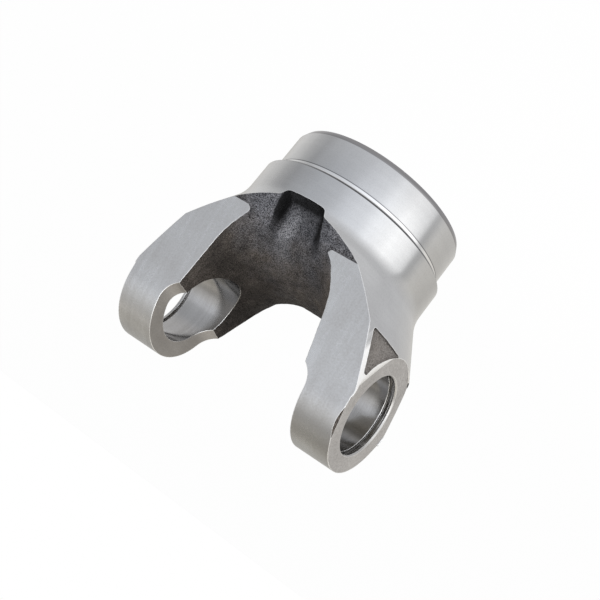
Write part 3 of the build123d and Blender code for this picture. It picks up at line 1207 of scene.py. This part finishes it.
# %% [markdown]
# In the pockets the walls are painted black as shade, wider on one side, and so is
# the lowest part over the back wall, while part of the floor is paler. The distance
# from the splayed walls and the height over the back wall say where. Deep corners
# elsewhere get their black painted shade from the group.

# %% Painted shade and paler floor of the pockets
PALE_PIT, PALE_PEAK, PALE_SHARE = (0.03, 0.031, 0.036), (0.44, 0.445, 0.475), 0.6
PALE_BAND, PALE_SIDE, PALE_LOW, PALE_TOP = (-2.6, -5.0), (0.0, 3.0), (2.0, 5.0), (19.0, 12.0)
# black painted shade along the pocket walls, low over the back wall and in deep corners
SHADE_BLACK, SHADE_BLACK_SHARE = (0.004, 0.004, 0.004), 0.92
SHADE_SIDE, SHADE_WIDER = (1.0, -1.0), 2.0
SHADE_BAND, SHADE_RIM, SHADE_TOP = (-3.4, -1.4), (0.4, -0.2), (14.0, 8.0)
SHADE_BACK, SHADE_BACK_SHARE = (2.1, 0.9), 0.85
splay = tan(radians(POCKET_SPLAY))


def over_back(first, last, share=1.0):
    """Fades in between two heights over the back wall of a pocket."""
    return stretch(tree, z, back_z + first, back_z + last, 0.0, share)


wall = reckon(tree, "ADD", times(tree, z, -splay), back_z * splay - POCKET_HALF_W)
from_wall = reckon(tree, "ADD", reckon(tree, "ABSOLUTE", x), wall)
pale_floor = times(tree, stretch(tree, from_wall, *PALE_BAND), over_back(*PALE_LOW),
             over_back(*PALE_TOP), stretch(tree, x, *PALE_SIDE, 0.0, PALE_SHARE))
skin = tint(tree, pale_floor, skin, tint(tree, peak, PALE_PIT, PALE_PEAK))
# the walls, the back wall and deep corners are painted black as shade
wider = reckon(tree, "ADD", from_wall, stretch(tree, x, *SHADE_SIDE, 0.0, SHADE_WIDER))
near_wall = times(tree, stretch(tree, wider, *SHADE_BAND), stretch(tree, from_wall, *SHADE_RIM),
                  over_back(*SHADE_TOP))
deep = reckon(tree, "MAXIMUM", near_wall, over_back(*SHADE_BACK, SHADE_BACK_SHARE))
deep = reckon(tree, "MAXIMUM", use_group(tree, corner_shade).outputs["DeepShade"], deep)
black_shade_share = times(tree, deep, reckon(tree, "SUBTRACT", SHADE_BLACK_SHARE, outside))
skin = tint(tree, black_shade_share, skin, SHADE_BLACK)
print("soot and bare floor", len(tree.nodes), "nodes")

# %% [markdown]
# Only the worn peaks are metal, so Metallic and Roughness follow the grain as
# the colour does. The bump adds the sand that is finer than the mesh.

# %% Forged finish
SAND_BUMP, SCALE_GLOSS = 0.40, 0.06
METAL_FROM, METAL_MOST = 0.7, 0.10
PIT_ROUGH, PEAK_ROUGH = 0.80, 0.50
surface = tree.nodes["Principled BSDF"]
edges = use_group(tree, edge_wear_and_gleam)
bump = add_node(tree, "ShaderNodeBump")
bump.inputs["Distance"].default_value = SAND_BUMP * MM
feed(tree, bump.inputs["Height"], scale.outputs["Height"])
feed(tree, bump.inputs["Normal"], edges.outputs["Normal"])
feed(tree, surface.inputs["Base Color"], skin)
feed(tree, surface.inputs["Metallic"], stretch(tree, peak, METAL_FROM, 1.0, 0.0, METAL_MOST))
feed(tree, surface.inputs["Roughness"], stretch(tree, peak, 0.0, 1.0, PIT_ROUGH, PEAK_ROUGH))
feed(tree, surface.inputs["Normal"], bump.outputs[0])
surface.inputs["Specular IOR Level"].default_value = SCALE_GLOSS
print(finish["forged"].name, len(tree.nodes), "nodes")

# %% [markdown]
# Bare steel has hardly any colour of its own: it shows what stands round it. So
# the studio is set up as for silverware. Room and table need the same three
# nodes: one tells the rays that see a thing from those that light it, one shines
# white, and one mixes two shaders.

# %% Studio helpers
WHITE = (1, 1, 1, 1)


def seen_directly(tree):
    """One for rays of camera, reflection and glass, none for other rays."""
    rays = add_node(tree, "ShaderNodeLightPath")
    seen = reckon(tree, "ADD", rays.outputs["Is Camera Ray"], rays.outputs["Is Glossy Ray"])
    return reckon(tree, "ADD", seen, rays.outputs["Is Transmission Ray"])


def white_light(tree, kind, strength):
    """A node that shines white at one strength."""
    node = add_node(tree, kind)
    node.inputs["Color"].default_value = WHITE
    node.inputs["Strength"].default_value = strength
    return node.outputs[0]


def mix_shaders(tree, share, first, second):
    node = add_node(tree, "ShaderNodeMixShader")
    for socket, value in zip(node.inputs, (share, first, second)):
        feed(tree, socket, value)
    return node.outputs[0]


print("studio helpers ready")

# %% [markdown]
# The room is white, and camera, reflections and glass all see it white, while the
# light that falls on the dull skin is kept softer.

# %% White room
SOFT_LIGHT = 0.14
scene = bpy.context.scene
scene.view_settings.view_transform = "Standard"
world = bpy.data.worlds.new("studio_world")
scene.world = world
world.use_nodes = True
sky = world.node_tree
sky.nodes.clear()
soft = white_light(sky, "ShaderNodeBackground", SOFT_LIGHT)
white = white_light(sky, "ShaderNodeBackground", 1.0)
room = add_node(sky, "ShaderNodeOutputWorld")
feed(sky, room.inputs["Surface"], mix_shaders(sky, seen_directly(sky), soft, white))
print("room", len(sky.nodes), "nodes")

# %% [markdown]
# The part stands on a sheet of white paper. It shines a little by itself, so
# that it joins the white room without a line, and keeps a faint shadow. From
# below the sheet is clear, so that the hollow hub can be looked at too.

# %% Paper floor
FLOOR_W, FLOOR_DROP = 6.0, 0.2
PAPER, PAPER_SHINE = (0.9, 0.9, 0.9, 1), 0.985
deselect_all()
bpy.ops.mesh.primitive_plane_add(size=FLOOR_W, location=(0, 0, -FLOOR_DROP * MM))
floor = bpy.context.object
floor.name = "studio_floor"
floor.visible_glossy = False
paper = bpy.data.materials.new("studio_paper")
paper.use_nodes = True
sheet = paper.node_tree
sheet.nodes.clear()
matte = add_node(sheet, "ShaderNodeBsdfDiffuse")
matte.inputs["Color"].default_value = PAPER
shine = white_light(sheet, "ShaderNodeEmission", 1.0)
shining = times(sheet, seen_directly(sheet), PAPER_SHINE)
upper = mix_shaders(sheet, shining, matte.outputs[0], shine)
clear = add_node(sheet, "ShaderNodeBsdfTransparent")
which_side = add_node(sheet, "ShaderNodeNewGeometry")
both_sides = mix_shaders(sheet, which_side.outputs["Backfacing"], upper, clear.outputs[0])
last = add_node(sheet, "ShaderNodeOutputMaterial")
feed(sheet, last.inputs["Surface"], both_sides)
floor.data.materials.append(paper)
print("floor of paper,", FLOOR_W, "m wide")

# %% [markdown]
# In an all-white room steel would look like plaster. A photographer therefore
# hangs grey cloth round the table: it is out of the picture, but the metal shows
# it, and it gives the hub its bright streak and the dark line beside it. The
# cloth is one big dome that only reflections can see. Its level changes with the
# compass angle and with the height, and it is cool on one side and warm on the
# other, as daylight and lamp light are. High up behind the part hangs a darker
# board, which gives the round tips of the ears their shade.

# %% Levels of the grey cloth
# compass angle in degrees, level, and warmth from -1 to 1
ROUND = [(-180, 1.34, 0), (-172, 1.50, 0), (-159, 1.62, 0), (-147, 1.46, -0.2), (-134, 1.41, -0.5),
         (-121, 1.16, -0.8), (-109, 1.10, -0.9), (-96, 0.98, -1), (-84, 0.79, -1), (-71, 0.70, -1),
         (-58, 0.64, -1), (-46, 0.57, -0.8), (-35, 0.53, -0.7), (-24, 0.46, -0.4), (-9, 0.58, 0),
         (4, 0.75, 0.2), (20, 0.82, 0.3), (34, 0.75, 0.5), (48, 0.58, 0.7), (66, 0.60, 0.8),
         (80, 0.68, 0.9), (113, 0.68, 1), (126, 0.71, 1), (140, 0.75, 1), (152, 0.80, 0.8),
         (159, 0.70, 0.4), (163, 0.60, 0.2), (168, 0.63, 0), (172, 1.10, 0), (180, 1.38, 0)]
# height as the sine of its angle, and what it does to the level
HEIGHT = [(-1.0, 1.05), (-0.93, 1.05), (-0.86, 0.95), (-0.62, 1.0), (-0.46, 1.04), (-0.28, 1.0),
          (0.0, 1.0), (0.25, 1.10), (0.31, 1.27), (0.40, 1.42), (0.58, 1.52), (0.75, 1.34),
          (0.83, 1.02), (0.88, 0.76), (1.0, 0.55)]
print("cloth with", len(ROUND), "levels round and", len(HEIGHT), "in height")

# %% [markdown]
# The dome is a sphere round everything. It is hidden from all rays but those of
# reflections, so it neither shows nor shades.

# %% Dome
DOME_R = 3.0
deselect_all()
bpy.ops.mesh.primitive_uv_sphere_add(segments=96, ring_count=48, radius=DOME_R)
dome = bpy.context.object
dome.name = "grey_cloth"
for sight in ("visible_camera", "visible_diffuse", "visible_transmission", "visible_shadow"):
    setattr(dome, sight, False)
cloth = bpy.data.materials.new("grey_cloth")
cloth.use_nodes = True
dome.data.materials.append(cloth)
print("dome", DOME_R, "m out")

# %% [markdown]
# Each of the two lists fills a colour ramp. The floor below, the warm light from
# above and the dark board are then laid over the colour of the first one, and the
# second one sets the strength.

# %% Light of the grey cloth
WARM_RED, WARM_BLUE = 0.03, 0.055
BELOW, BELOW_TONE = (-0.35, -0.75), (0.80, 0.80, 0.81)
ABOVE, ABOVE_TONE = (0.5, 0.85), (1.04, 1.0, 0.93)
BOARD_AT, BOARD_HALF, BOARD_SOFT = 45.0, 25.0, 20.0
BOARD_RISE, BOARD_TONE = (0.10, 0.35), (0.60, 0.60, 0.59)


def fill_ramp(tree, value, stops):
    """A colour ramp with stops from places and colours."""
    ramp = add_node(tree, "ShaderNodeValToRGB")
    feed(tree, ramp.inputs[0], value)
    elements = ramp.color_ramp.elements
    for spot, colour in stops[1:-1]:
        elements.new(spot)
    for element, (spot, colour) in zip(elements, stops):
        element.position = spot
        element.color = (*colour, 1)
    return ramp.outputs[0]


tree = cloth.node_tree
tree.nodes.clear()
_, x, y, z = part_place(tree)


def in_height(low, high):
    """Fades in between two heights, as shares of the dome's radius."""
    return stretch(tree, z, low * DOME_R / MM, high * DOME_R / MM)


around = way_round(tree, y, x, 1.0)
level = fill_ramp(tree, stretch(tree, around, -pi, pi), [
    ((angle + 180) / 360, (k * (1 + WARM_RED * w), k, k * (1 - WARM_BLUE * w)))
    for angle, k, w in ROUND])
fade = fill_ramp(tree, in_height(-1, 1), [((s + 1) / 2, (k, k, k)) for s, k in HEIGHT])
tone = tint(tree, in_height(*BELOW), level, BELOW_TONE)
tone = tint(tree, in_height(*ABOVE), tone, ABOVE_TONE, "MULTIPLY")
beside = reckon(tree, "ABSOLUTE", reckon(tree, "SUBTRACT", around, radians(BOARD_AT)))
near_board = stretch(tree, beside, radians(BOARD_HALF + BOARD_SOFT), radians(BOARD_HALF))
board = times(tree, near_board, in_height(*BOARD_RISE))
tone = tint(tree, board, tone, BOARD_TONE, "MULTIPLY")
shine = add_node(tree, "ShaderNodeEmission")
feed(tree, shine.inputs["Color"], tone)
feed(tree, shine.inputs["Strength"], fade)
last = add_node(tree, "ShaderNodeOutputMaterial")
feed(tree, last.inputs["Surface"], shine.outputs[0])
print("light of the cloth", len(tree.nodes), "nodes")

# %% [markdown]
# The dull forged skin shows no reflections, so it needs lamps to model it: a
# wide one over the open side, which lights web and throat and leaves the flank
# of the far ear dark, and a smaller one at the side for the outer face of the
# ear. They leave the reflections alone, where the cloth already does their work.

# %% Lamps
# name, direction from the joint, distance and width in metres, power in watts
LAMPS = [("wide_lamp", (0.05, -0.95, 0.25), 1.5, 0.9, 29.0),
         ("side_lamp", (-0.92, -0.25, -0.20), 0.22, 0.06, 0.42)]
for name, toward, far, size, power in LAMPS:
    deselect_all()
    toward = Vector(toward).normalized()
    spot = toward * far + Vector((0, 0, JOINT_H * MM))
    bpy.ops.object.light_add(type="AREA", location=spot,
                             rotation=toward.to_track_quat("Z", "Y").to_euler())
    lamp = bpy.context.object
    lamp.name = name
    lamp.visible_glossy = False
    lamp.data.size = size
    lamp.data.energy = power
    print(name, power, "W from", [round(c, 2) for c in spot])
